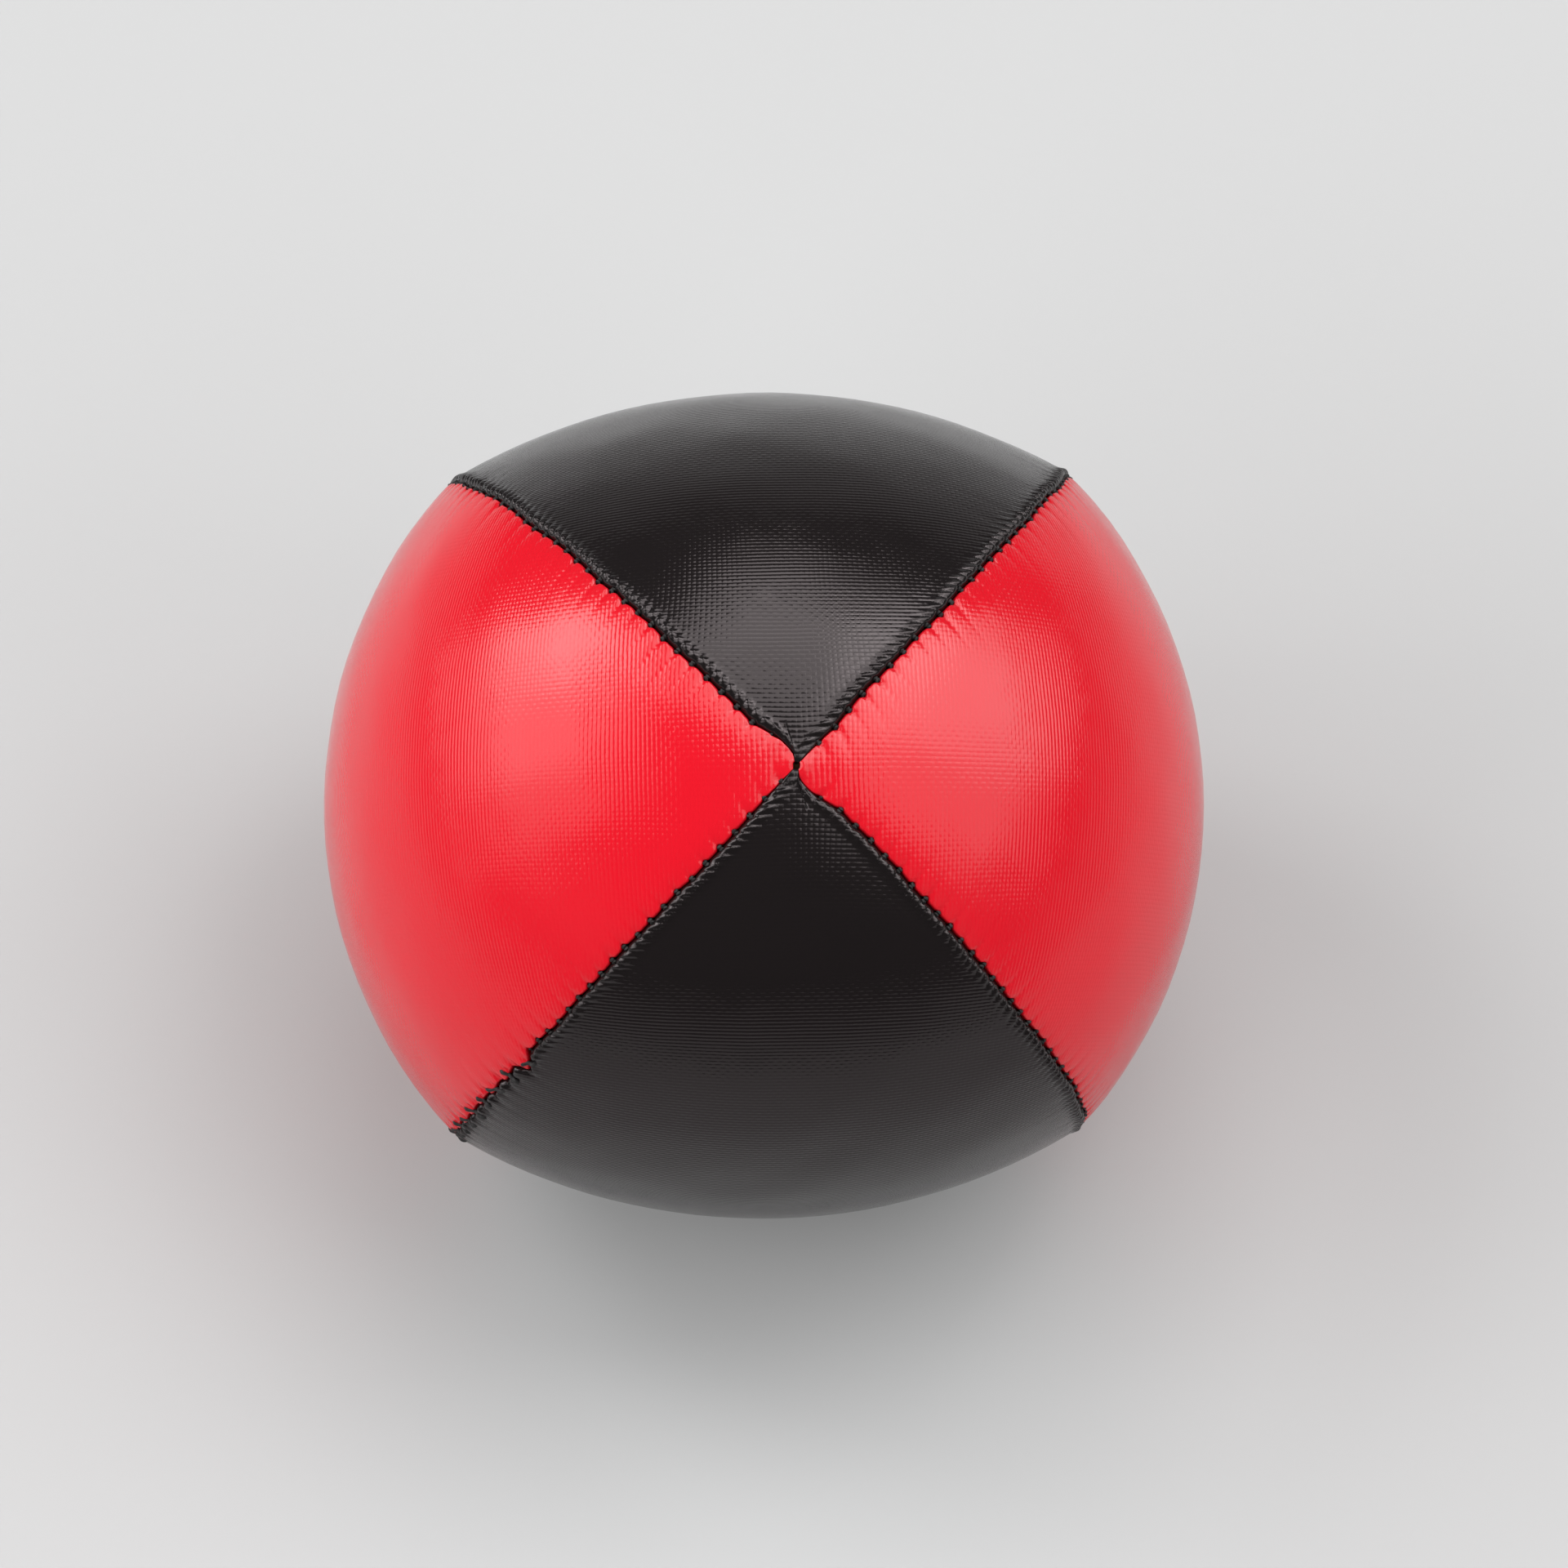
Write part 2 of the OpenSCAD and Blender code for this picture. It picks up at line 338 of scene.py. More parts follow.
@dataclass(frozen=True)
class Sewing:
    """How the seams are sewn, in millimetres and degrees.

    Args:
        stitches: machine stitches along one seam, from end to end.
        thread: thickness of the sewing thread.
        closing_start: angle from the front end at which the hand-sewn gap begins.
        closing_end: angle from the front end at which it ends.
        closing_stitches: hand stitches across the gap.
        closing_reach: distance from the middle of the seam to a hand stitch's hole.
        closing_blend: angle over which machine sewing gives way to hand sewing.
        goes_in: share of a hand stitch at which it pulls the cloth hardest.
        comes_out: share of a hand stitch at which it pulls half as hard.
        tooth: distance by which a hand stitch drags the seam's line sideways.
        first_tooth: the same for the first hand stitch, which is pulled hardest.
        tooth_peak: share of a hand stitch at which the line is dragged furthest.
        slow_drift: sideways wander of a seam, and then its pitch along the seam.
        quick_drift: smaller wander over that one.
        drift_fade: angle over which the wander fades towards an end.
        blunt_tip: distance by which the first half seams turn aside near the ends.
        seed: which random wander.
    """

    stitches: int = 72
    thread: float = 0.3
    closing_start: float = 52.0
    closing_end: float = 104.0
    closing_stitches: int = 11
    closing_reach: float = 0.9
    closing_blend: float = 1.2
    goes_in: float = 0.86
    comes_out: float = 0.35
    tooth: float = 0.45
    first_tooth: float = 1.1
    tooth_peak: float = 0.72
    slow_drift: tuple[float, float] = (0.11, 5.0)
    quick_drift: tuple[float, float] = (0.05, 1.7)
    drift_fade: float = 8.0
    blunt_tip: float = 0.6
    seed: int = 11

    @property
    def step(self) -> float:
        """Angle along the seam that one machine stitch takes."""
        return 180.0 / self.stitches

    @property
    def joined_span(self) -> float:
        """Angle that the second seam to be sewn runs through, right round but for the gap."""
        return 360.0 - (self.closing_end - self.closing_start)

    @property
    def joining_stitches(self) -> int:
        """Machine stitches in the second seam to be sewn."""
        return round(self.stitches * self.joined_span / 180)

    def stitch_count(self, seam: Seam, t: np.ndarray) -> np.ndarray:
        """Count of machine stitches up to a place on a seam, whole at the needle's holes.

        Args:
            seam: the seam.
            t: angles from the front end.

        Returns:
            The count at each angle.
        """
        if seam in (Seam.UPPER_LEFT, Seam.LOWER_RIGHT):
            return t / self.step + 0.5
        if seam is Seam.UPPER_RIGHT:
            run = 360.0 - t
        else:
            run = np.where(t < self.closing_start, 360.0 + t, t)
        return (run - self.closing_end) * self.joining_stitches / self.joined_span + 2

    def is_closing(self, seam: Seam, t: np.ndarray) -> np.ndarray:
        """Share, 0 to 1, by which a place on a seam is sewn by hand."""
        if seam is not Seam.LOWER_LEFT:
            return np.zeros_like(t)
        blend = self.closing_blend
        return ease((t - self.closing_start) / blend) * ease((self.closing_end - t) / blend)

    def closing_phase(self, t: np.ndarray) -> np.ndarray:
        """Count of hand stitches from the start of the filling gap."""
        done = (t - self.closing_start) / (self.closing_end - self.closing_start)
        return done * self.closing_stitches

    def hand_pull(self, t: np.ndarray) -> np.ndarray:
        """Pull of the hand stitches along the closed gap, 0 to 1."""
        along = np.mod(self.closing_phase(t), 1.0)
        return bell(along, self.goes_in, 0.13) + 0.5 * bell(along, self.comes_out, 0.12)

    def teeth(self, t: np.ndarray) -> np.ndarray:
        """Distance by which hand stitches drag the closed gap's edge to and fro.

        Args:
            t: angles from the front end.

        Returns:
            Distances in millimetres.
        """
        phase = self.closing_phase(t)
        rng = np.random.default_rng(self.seed)
        sizes = rng.uniform(self.tooth * 0.55, self.tooth, self.closing_stitches + 2)
        sizes[0] = self.first_tooth
        stitch = np.clip(np.floor(phase).astype(int), 0, self.closing_stitches)
        along, peak = np.mod(phase, 1.0), self.tooth_peak
        saw = np.where(along < peak, along / peak, (1.0 - along) / (1.0 - peak))
        return sizes[stitch] * saw - self.tooth * 0.3

    def wander(self, seam: Seam, t: np.ndarray) -> np.ndarray:
        """Sideways drift of a seam's line in millimetres, which both its panels share.

        Args:
            seam: the seam.
            t: angles from the front end.

        Returns:
            Distances towards the higher azimuth.
        """
        number = self.seed + seam.value[0]
        (slow, slow_pitch), (quick, quick_pitch) = self.slow_drift, self.quick_drift
        drift = slow * ripple(t, slow_pitch, number) + quick * ripple(t, quick_pitch, number + 1)
        drift = drift * ease(t / self.drift_fade) * ease((180 - t) / self.drift_fade)
        if seam in (Seam.UPPER_LEFT, Seam.LOWER_RIGHT):
            from_end = np.minimum(t, 180 - t)
            drift = drift - self.blunt_tip * ease(from_end / 1.4) * ease((6.5 - from_end) / 4.0)
        return drift + self.is_closing(seam, t) * self.teeth(t)


class SeamLine:
    """One seam followed right round the ball: 0 is the front end and 180 the back end."""

    def __init__(self, shape: BallShape, sewing: Sewing, seam: Seam) -> None:
        """Keep the ball's form and the seam to follow."""
        self.shape, self.sewing, self.seam = shape, sewing, seam
        self.azimuth = seam.azimuth(shape.red_spread)

    def places(self, a: np.ndarray) -> tuple[np.ndarray, np.ndarray]:
        """Places on the ball at angles right round it.

        Args:
            a: angles along the seam and back up the far one.

        Returns:
            Angles from the front end, and azimuths.
        """
        a = np.mod(a, 360.0)
        return np.where(a <= 180, a, 360 - a), np.where(a <= 180, self.azimuth, self.azimuth + 180)

    def far_seam(self) -> Seam:
        """The seam that this one runs on into through the ends."""
        order = list(Seam)
        return order[(order.index(self.seam) + 2) % 4]

    def beside(self, a: np.ndarray, aside: np.ndarray, depth: np.ndarray) -> np.ndarray:
        """Points beside the seam.

        Args:
            a: angles round the ball.
            aside: distances to the seam's left, seen along it from outside.
            depth: distances below the skin.

        Returns:
            Points in millimetres.
        """
        t, azimuth = self.places(a)
        near, far = self.places(a + 1.0), self.places(a - 1.0)
        along = unit(self.shape.skin(*near) - self.shape.skin(*far))
        into = self.shape.inward(t, azimuth)
        left = unit(np.cross(along, into))
        first = self.sewing.wander(self.seam, t)
        second = -self.sewing.wander(self.far_seam(), t)
        drift = np.where(np.mod(a, 360.0) <= 180, first, second)
        return self.shape.skin(t, azimuth) + left * (aside + drift)[:, None] + into * depth[:, None]


# ---------------------------------------------------------------------------
# Cloth panels
# ---------------------------------------------------------------------------


class Cloth(Enum):
    """The two colours of coated cloth."""

    RED = "red_fabric"
    BLACK = "black_fabric"


@dataclass(frozen=True)
class Edge:
    """How a panel's cloth lies along a machine seam, in millimetres.

    Args:
        stand_off: distance from the seam's middle to the cloth that is turned down.
        roll: width over which the cloth rolls down into the seam.
        rim: height of the puffed ridge along the edge.
        lump: height of the lumps on the ridge.
        dent: depth by which a stitch pulls the cloth in.
        scallop: distance by which a stitch draws the edge back.
        crease: depth of the fine creases beside the seam.
        crease_reach: distance over which they fade.
        sag: depth by which the seam holds the cloth down beside it.
        sag_reach: distance over which that fades.
        rim_place: distance from the seam's middle to the top of the ridge.
        rim_spread: half width of the ridge.
        lump_pitch: distance from lump to lump.
        lump_lean: distance that a lump leans along the seam for each millimetre across.
        crease_pitch: distance from crease to crease.
        crease_lean: lean of the creases, measured as that of the lumps is.
    """

    stand_off: float
    roll: float
    rim: float
    lump: float
    dent: float
    scallop: float
    crease: float
    crease_reach: float
    sag: float
    sag_reach: float = 1.3
    rim_place: float = 0.48
    rim_spread: float = 0.34
    lump_pitch: float = 0.78
    lump_lean: float = 0.7
    crease_pitch: float = 0.75
    crease_lean: float = 0.12

    def rope(self, along: np.ndarray, across: np.ndarray, seed: int) -> np.ndarray:
        """Height of the ridge's lumps, like the strands of a rope, about 0.

        Args:
            along: distances along the seam.
            across: distances from the seam, less than 0 on a panel's high side.
            seed: which random unevenness.

        Returns:
            Heights from -0.7 to 0.5, to be scaled by the lumps' own height.
        """
        slanted = along + self.lump_lean * across + 6.0
        strands = slanted / self.lump_pitch + 0.3 * ripple(along, 2.3, seed)
        crown = np.abs(np.sin(math.pi * strands)) ** 0.7
        return crown - 0.6 + 0.1 * ripple(slanted, 0.4, seed + 1)


@dataclass(frozen=True)
class Gather:
    """A stretch of seam where fine creases run out into one panel.

    Args:
        seam: the seam.
        start: angle from the front end at which it begins.
        end: angle from the front end at which it ends.
        depth: depth of the creases in millimetres.
        reach: distance that they run out in millimetres.
    """

    seam: Seam
    start: float
    end: float
    depth: float
    reach: float


@dataclass(frozen=True)
class Side:
    """One sewn side of a panel: its seam, the seam's azimuth, and 1 or -1 for the way in."""

    seam: Seam
    azimuth: float
    way: int


@dataclass
class Sections:
    """Sections across one panel, and the columns of points that run through them all.

    Args:
        t: angles from the front end at which the sections stand.
        radius: distance from the ball's axis to the seams in each section.
        half_width: half the panel's width in each section.
        aside: distance of each edge column from its seam where the panel is wide.
        sunk: depth of each edge column below the skin.
        squeeze: share of those distances that is left in each section.
    """

    t: np.ndarray
    radius: np.ndarray
    half_width: np.ndarray
    aside: np.ndarray
    sunk: np.ndarray
    squeeze: np.ndarray
    points: list[np.ndarray] = field(default_factory=list)
    marks: list[np.ndarray] = field(default_factory=list)

    def add(self, points: np.ndarray, *marks: np.ndarray) -> None:
        """Add a column of points, with three numbers that place each one on the cloth."""
        self.points.append(points)
        self.marks.append(np.stack(marks, -1))


@dataclass
class ClothPanel:
    """One lens-shaped panel with its two allowances turned in.

    Args:
        shape: the ball's form.
        sewing: how the seams are sewn.
        node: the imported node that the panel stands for.
        cloth: which cloth it is cut from.
        low_seam: the seam at its lower azimuth.
        high_seam: the seam at its higher azimuth.
        edge: how the cloth lies along its seams.
        gathers: where creases run out from its seams.
        seed: which random unevenness.
        rows_per_stitch: sections for each machine stitch.
        middle_columns: columns between its two shaped edges.
        turn_down: angles at which the rolled edge has its columns.
        shoulder: distances of the columns beyond the rolled edge, in millimetres.
        edge_share: share of the half width that a shaped edge may take near the ends.
        drift_reach: distance over which a seam's wander fades out in the cloth.
        roll_reach: distance over which the cloth turns from the seam's depth to its own.
        calm_edge: distance from a seam within which the grain raises no lumps.
        sewing_reach: distance beyond which no seam is felt.
        cloth_per_degree: length of cloth for each degree from end to end.
    """

    shape: BallShape
    sewing: Sewing
    node: str
    cloth: Cloth
    low_seam: Seam
    high_seam: Seam
    edge: Edge
    gathers: Sequence[Gather] = ()
    seed: int = 1
    rows_per_stitch: int = 12
    middle_columns: int = 26
    turn_down: Sequence[float] = (0, 14, 30, 46, 62, 76, 90)
    shoulder: Sequence[float] = (0.12, 0.25, 0.39, 0.54, 0.7, 0.88, 1.08, 1.32, 1.6, 2.0, 2.5)
    edge_share: float = 0.72
    drift_reach: float = 2.4
    roll_reach: float = 0.9
    calm_edge: float = 4.0
    sewing_reach: float = 12.0
    cloth_per_degree: float = 0.6

    @property
    def low(self) -> Side:
        """The side at the panel's lower azimuth, below 0 where the panel lies across azimuth 0."""
        wraps = self.low_seam.value[0] > self.high_seam.value[0]
        azimuth = self.low_seam.azimuth(self.shape.red_spread)
        return Side(self.low_seam, azimuth - 360 if wraps else azimuth, 1)

    @property
    def high(self) -> Side:
        """The side at the panel's higher azimuth."""
        return Side(self.high_seam, self.high_seam.azimuth(self.shape.red_spread), -1)

    @property
    def half(self) -> float:
        """Half of the azimuth that the panel spans."""
        return (self.high.azimuth - self.low.azimuth) / 2

    @property
    def middle(self) -> float:
        """Azimuth of the panel's middle line."""
        return (self.low.azimuth + self.high.azimuth) / 2

    def cut_area(self) -> float:
        """Area of the flat lens that the panel is cut from, with its seam allowances."""
        t = np.linspace(0, 180, 181)
        width = 2 * math.radians(self.half) * self.shape.seam_radius * self.shape.reach(t)
        return float(np.mean(width + 2 * self.shape.allowance_at(t)) * math.pi * self.shape.end_radius)

    def rows(self) -> np.ndarray:
        """Angles from the front end at which the panel's sections stand."""
        step = self.sewing.step / self.rows_per_stitch
        first = np.concatenate([[0.35, 0.7, 1.1], np.arange(1.5, 90.0, step)])
        return np.concatenate([first, 180 - first[::-1]])

    def columns(self) -> tuple[np.ndarray, np.ndarray]:
        """Distances from the seam, and depths below the skin, up one side of a section."""
        angles = np.radians(np.array(self.turn_down, float))
        rolled = self.edge.stand_off + self.edge.roll * (1 - np.cos(angles))
        sunk = self.shape.groove_depth * (1 - np.sin(angles))
        flat = self.edge.stand_off + self.edge.roll + np.array(self.shoulder)
        return np.concatenate([rolled, flat]), np.concatenate([sunk, np.zeros(len(flat))])

    def stitch_pull(self, side: Side, t: np.ndarray) -> np.ndarray:
        """Pull of the machine stitches along one side.

        Args:
            side: the side.
            t: angles from the front end.

        Returns:
            Share, 0 to about 1, of a full pull, greatest at the needle's holes.
        """
        count = np.maximum(self.sewing.stitch_count(side.seam, t), 0.0)
        hole = np.round(count).astype(int)
        rng = np.random.default_rng(self.seed * 31 + side.seam.value[0] + side.way)
        strength = rng.uniform(0.45, 1.2, int(hole.max()) + 1)
        return strength[hole] * bell(count - hole, 0.0, 0.15)

    def drawn_back(self, side: Side, t: np.ndarray, nominal: float) -> np.ndarray:
        """Distance by which a column stands back from its seam where a stitch holds it."""
        pull = self.stitch_pull(side, t) * (1 - self.sewing.is_closing(side.seam, t))
        return self.edge.scallop * (pull - 0.25) * math.exp(-((nominal / 0.7) ** 2))

    def relief(self, side: Side, t: np.ndarray, aside: np.ndarray) -> np.ndarray:
        """Depth by which sewing pulls the cloth in beside one seam.

        Args:
            side: the side that is sewn.
            t: angles from the front end.
            aside: distances from the seam.

        Returns:
            Depths in millimetres, less than 0 where the cloth puffs out.
        """
        e, number = self.edge, self.seed * 100 + side.seam.value[0]
        along = np.radians(t) * self.shape.end_radius
        rope = e.rope(along, side.way * aside, number)
        ridge = bell(aside, e.rim_place, e.rim_spread)
        width = 1.0 + 0.45 * ripple(along, 3.1, number + 2)
        pull = self.stitch_pull(side, t)
        machine = e.dent * pull * bell(aside, 0.0, 0.5) - (e.rim * width + e.lump * rope) * ridge
        held_down = e.sag * np.exp(-aside / e.sag_reach)
        machine = machine + held_down * (0.8 + 0.4 * pull)
        fine = ripple(along + e.crease_lean * aside, e.crease_pitch, number + 3)
        fade = np.exp(-aside / (e.crease_reach * width)) * ease(aside / 0.5)
        machine = machine + e.crease * fine * fade
        for gather in self.gathers:
            if gather.seam is side.seam:
                machine = machine + self.gathered(gather, t, aside, rope, number + 4)
        pull = self.sewing.hand_pull(t)
        by_hand = 0.26 * pull * bell(aside, 0.0, 0.8) + 0.035 * (pull - 0.35) * np.exp(-aside / 2.0)
        by_hand = by_hand - 0.05 * rope * ridge + 0.6 * held_down
        closing = self.sewing.is_closing(side.seam, t)
        past_ends = ease((t - 0.4) / 2) * ease((179.6 - t) / 2)
        return (machine * (1 - closing) + by_hand * closing) * past_ends

    def gathered(self, gather: Gather, t: np.ndarray, aside: np.ndarray, rope: np.ndarray,
                 seed: int) -> np.ndarray:
        """Depth of the creases that run out from a gathered stretch of seam.

        Args:
            gather: the stretch.
            t: angles from the front end.
            aside: distances from the seam.
            rope: heights of the edge's lumps, between which the creases start.
            seed: which random unevenness.

        Returns:
            Depths in millimetres.
        """
        along = np.radians(t) * self.shape.end_radius
        within = ease((t - gather.start) / 5) * ease((gather.end - t) / 5)
        reach = gather.reach * (1.0 + 0.4 * ripple(along, 1.1, seed))
        folds = 0.3 * ripple(along + 0.1 * aside, 0.52, seed + 1) - rope
        fade = np.exp(-((aside / reach) ** 1.5)) * ease(aside / 0.3)
        return gather.depth * within * folds * fade

    def on_flat_cloth(self, t: np.ndarray, azimuth: np.ndarray) -> tuple[np.ndarray, np.ndarray]:
        """Place on the flat cloth: along the panel's middle line, and square to it.

        Args:
            t: angles from the front end.
            azimuth: angles about the ball's own axis.

        Returns:
            Both distances in millimetres.
        """
        tilt, off = np.radians(t), np.radians(azimuth - self.middle)
        along = np.arctan2(np.sin(tilt) * np.cos(off), np.cos(tilt))
        across = np.arcsin(np.sin(tilt) * np.sin(off))
        return along * self.shape.end_radius, across * self.shape.end_radius

    def unevenness(self, u: np.ndarray, v: np.ndarray) -> np.ndarray:
        """Slight lumps that the grain pushes into the cloth.

        Args:
            u: distances along the cloth.
            v: distances across it.

        Returns:
            Depths in millimetres.
        """
        rng = np.random.default_rng(self.seed + 500)
        lumps = np.zeros_like(u)
        for _ in range(26):
            length = rng.uniform(4.5, 13.0)
            heading = rng.uniform(0, math.pi)
            along = (u * math.cos(heading) + v * math.sin(heading)) * 2 * math.pi / length
            lumps += 0.0016 * length * np.sin(along + rng.uniform(0, 6.28))
        return lumps / 3.0

    def build(self) -> bpy.types.Object:
        """Make the panel's closed mesh, sewn edges and all.

        Returns:
            The finished panel.
        """
        made = self._sections()
        face = self.shape.seam_gap / 2
        wall = face + self.shape.fabric
        self._flange_column(made, self.low, face, 1.0)
        self._flange_column(made, self.low, face, 0.3)
        for k in range(len(made.aside)):
            self._edge_column(made, self.low, k)
        for share in np.linspace(-1, 1, self.middle_columns + 2)[1:-1]:
            self._middle_column(made, share)
        for k in reversed(range(len(made.aside))):
            self._edge_column(made, self.high, k)
        self._flange_column(made, self.high, face, 0.3)
        self._flange_column(made, self.high, face, 1.0)
        self._flange_column(made, self.high, wall, 1.0)
        self._flange_column(made, self.high, wall, 0.25)
        for share in np.linspace(0.94, -0.94, 13):
            self._inner_column(made, share, wall)
        self._flange_column(made, self.low, wall, 0.25)
        self._flange_column(made, self.low, wall, 1.0)
        piece = make_mesh(self.node + "_cloth", *rings_to_skin(np.stack(made.points, 1)))
        write_attribute(piece, "cloth", np.stack(made.marks, 1).reshape(-1, 3))
        return piece

    def _sections(self) -> Sections:
        """Sections of the panel, with no columns yet."""
        t = self.rows()
        radius = self.shape.seam_radius * self.shape.reach(t)
        half_width = np.radians(self.half) * radius
        aside, sunk = self.columns()
        squeeze = np.minimum(1.0, self.edge_share * half_width / aside[-1])
        return Sections(t, radius, half_width, aside, sunk, squeeze)

    def _flange_column(self, made: Sections, side: Side, aside: float, share: float) -> None:
        """Add one column on the turned-in allowance.

        Args:
            made: the panel's sections.
            side: the side that the allowance is on.
            aside: its distance from the seam's middle, in millimetres.
            share: how far down the allowance it lies, 0 to 1.
        """
        shape, t = self.shape, made.t
        kept_aside = np.minimum(aside, 0.5 * made.half_width)
        drift = self.sewing.wander(side.seam, t)
        azimuth = side.azimuth + np.degrees((side.way * kept_aside + drift) / made.radius)
        depth = shape.fabric + shape.allowance_at(t) * share
        points = shape.skin(t, azimuth) + shape.inward(t, side.azimuth) * depth[:, None]
        made.add(points, t * self.cloth_per_degree, -side.way * made.half_width, np.zeros_like(t))

    def _edge_column(self, made: Sections, side: Side, k: int) -> None:
        """Add one column of the outer face beside a seam.

        Args:
            made: the panel's sections.
            side: the side that it is on.
            k: its number, counted from the seam.
        """
        nominal, t = made.aside[k], made.t
        aside = (nominal + self.drawn_back(side, t, nominal)) * made.squeeze
        drift = self.sewing.wander(side.seam, t) * bell(nominal, 0.0, self.drift_reach)
        azimuth = side.azimuth + np.degrees((side.way * aside + drift) / made.radius)
        nearness = bell(nominal, 0.0, self.roll_reach)
        own_way, seam_way = self.shape.inward(t, azimuth), self.shape.inward(t, side.azimuth)
        into = unit(own_way * (1 - nearness) + seam_way * nearness)
        sunk = made.sunk[k] * np.maximum(made.squeeze, 0.3)
        self._outer_column(made, azimuth, -side.way * (made.half_width - aside), into, sunk)

    def _middle_column(self, made: Sections, share: float) -> None:
        """Add one column of the outer face, at a share of the way from its middle to a shaped edge."""
        place = (made.half_width - made.aside[-1] * made.squeeze) * share
        azimuth = self.middle + np.degrees(place / made.radius)
        self._outer_column(made, azimuth, place, self.shape.inward(made.t, azimuth), 0.0)

    def _outer_column(self, made: Sections, azimuth: np.ndarray, place: np.ndarray, into: np.ndarray,
                      sunk: np.ndarray | float) -> None:
        """Add one column of the outer face with the relief of grain and sewing in it.

        Args:
            made: the panel's sections.
            azimuth: where it lies about the ball's own axis.
            place: its distance from the panel's middle line.
            into: the way that depth is measured.
            sunk: depth before any relief.
        """
        t = made.t
        u, v = self.on_flat_cloth(t, azimuth)
        from_edge = made.half_width - np.abs(place)
        depth = self.unevenness(u, v) * ease(from_edge / self.calm_edge)
        for side in (self.low, self.high):
            spot = made.half_width + side.way * place
            depth = depth + self.relief(side, t, np.maximum(spot, 0.0)) * (spot < self.sewing_reach)
        points = self.shape.skin(t, azimuth) + into * (depth + sunk)[:, None]
        points[:, 2] = np.maximum(points[:, 2], 0.0)
        made.add(points, u, v, from_edge)

    def _inner_column(self, made: Sections, share: float, wall: float) -> None:
        """Add one column of the inner face, at a share of the way from its middle to an allowance.

        Args:
            made: the panel's sections.
            share: the share, -1 to 1.
            wall: distance of the allowance's inner face from the seam's middle.
        """
        t = made.t
        place = np.maximum(made.half_width - wall - 0.35, made.half_width * 0.45) * share
        azimuth = self.middle + np.degrees(place / made.radius)
        points = self.shape.skin(t, azimuth) + self.shape.inward(t, azimuth) * self.shape.fabric
        made.add(points, t * self.cloth_per_degree, place, np.full_like(t, 9.0))


# ---------------------------------------------------------------------------
# Threads
# ---------------------------------------------------------------------------


@dataclass
class Thread:
    """One twisted sewing thread laid along a route."""

    name: str
    radius: float = 0.12
    sides: int = 6

    def build(self, route: np.ndarray) -> bpy.types.Object:
        """Sweep a round section along the route.

        Args:
            route: points in millimetres.

        Returns:
            The thread as a closed mesh.
        """
        route[:, 2] = np.maximum(route[:, 2], self.radius)
        middle = np.array([0.0, 0.0, route[:, 2].mean()])
        way = unit(np.gradient(route, axis=0))
        side = unit(np.cross(way, unit(route - middle)))
        up = np.cross(side, way)
        count, s = len(route), self.sides
        angles = 2 * math.pi * np.arange(s) / s
        across, upward = np.cos(angles)[None, :, None], np.sin(angles)[None, :, None]
        ring = side[:, None, :] * across + up[:, None, :] * upward
        points = (route[:, None, :] + self.radius * ring).reshape(-1, 3)
        r, c = np.meshgrid(np.arange(count - 1), np.arange(s), indexing="ij")
        n = (c + 1) % s
        faces = np.stack([r * s + c, r * s + n, (r + 1) * s + n, (r + 1) * s + c], -1)
        faces = faces.reshape(-1, 4).tolist()
        faces.append(list(range(s - 1, -1, -1)))
        faces.append([(count - 1) * s + k for k in range(s)])
        piece = make_mesh(self.name, points, faces)
        length = np.concatenate([[0], np.cumsum(np.linalg.norm(np.diff(route, axis=0), axis=1))])
        marks = np.stack([np.repeat(length, s), np.tile(angles, count), np.zeros(count * s)], -1)
        write_attribute(piece, "strand", marks)
        return piece


@dataclass
class MachineSeam:
    """The needle and bobbin threads of one run of lockstitch."""

    shape: BallShape
    sewing: Sewing
    seam: Seam
    start: float
    end: float
    stitches: int
    title: str

    def stitch(self) -> np.ndarray:
        """Path of one stitch: a small loop in the groove, then a run behind the cloth.

        Returns:
            Rows of share along the stitch, distance from the seam and depth.
        """
        gap = self.shape.seam_gap / 2
        behind = gap + self.shape.fabric + self.sewing.thread / 2 + 0.05
        run_depth = self.shape.fabric + self.sewing.thread / 2 + 0.15
        down = [
            (0.05, 0.1, 0.3),
            (0.11, gap + 0.1, 0.55),
            (0.22, gap + 0.5, 0.8),
            (0.34, behind, run_depth),
        ]
        back = [(1.0 - share, aside, depth) for share, aside, depth in reversed(down)]
        return np.array([(0.0, 0.24, 0.14), *down, (0.5, behind, run_depth), *back])

    def route(self, side: int) -> np.ndarray:
        """Route of one thread along the whole run.

        Args:
            side: 1 for the needle thread, -1 for the bobbin thread.

        Returns:
            Points in millimetres.
        """
        count = self.stitches
        shares, aside, depth = self.stitch().T
        asides, depths = np.tile(aside, (count, 1)), np.tile(depth, (count, 1))
        shown = np.random.default_rng(self.seam.value[0] * 7 + side + 1).uniform(0.0, 0.8, count)
        asides[:, 0] *= shown
        depths[:, 0] += 0.14 * (1 - shown)
        turns = (np.arange(count)[:, None] + shares[None, :]) / count
        a = self.start + (self.end - self.start) * turns
        line = SeamLine(self.shape, self.sewing, self.seam)
        return line.beside(a.ravel(), side * asides.ravel(), depths.ravel())

    def build(self) -> list[bpy.types.Object]:
        """Both threads of the run."""
        made = []
        for side, part in ((1, "needle"), (-1, "bobbin")):
            node = f"{self.title}_{part}_thread"
            piece = Thread(node + "_strand").build(self.route(side))
            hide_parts(node)
            made.append(piece)
        return made


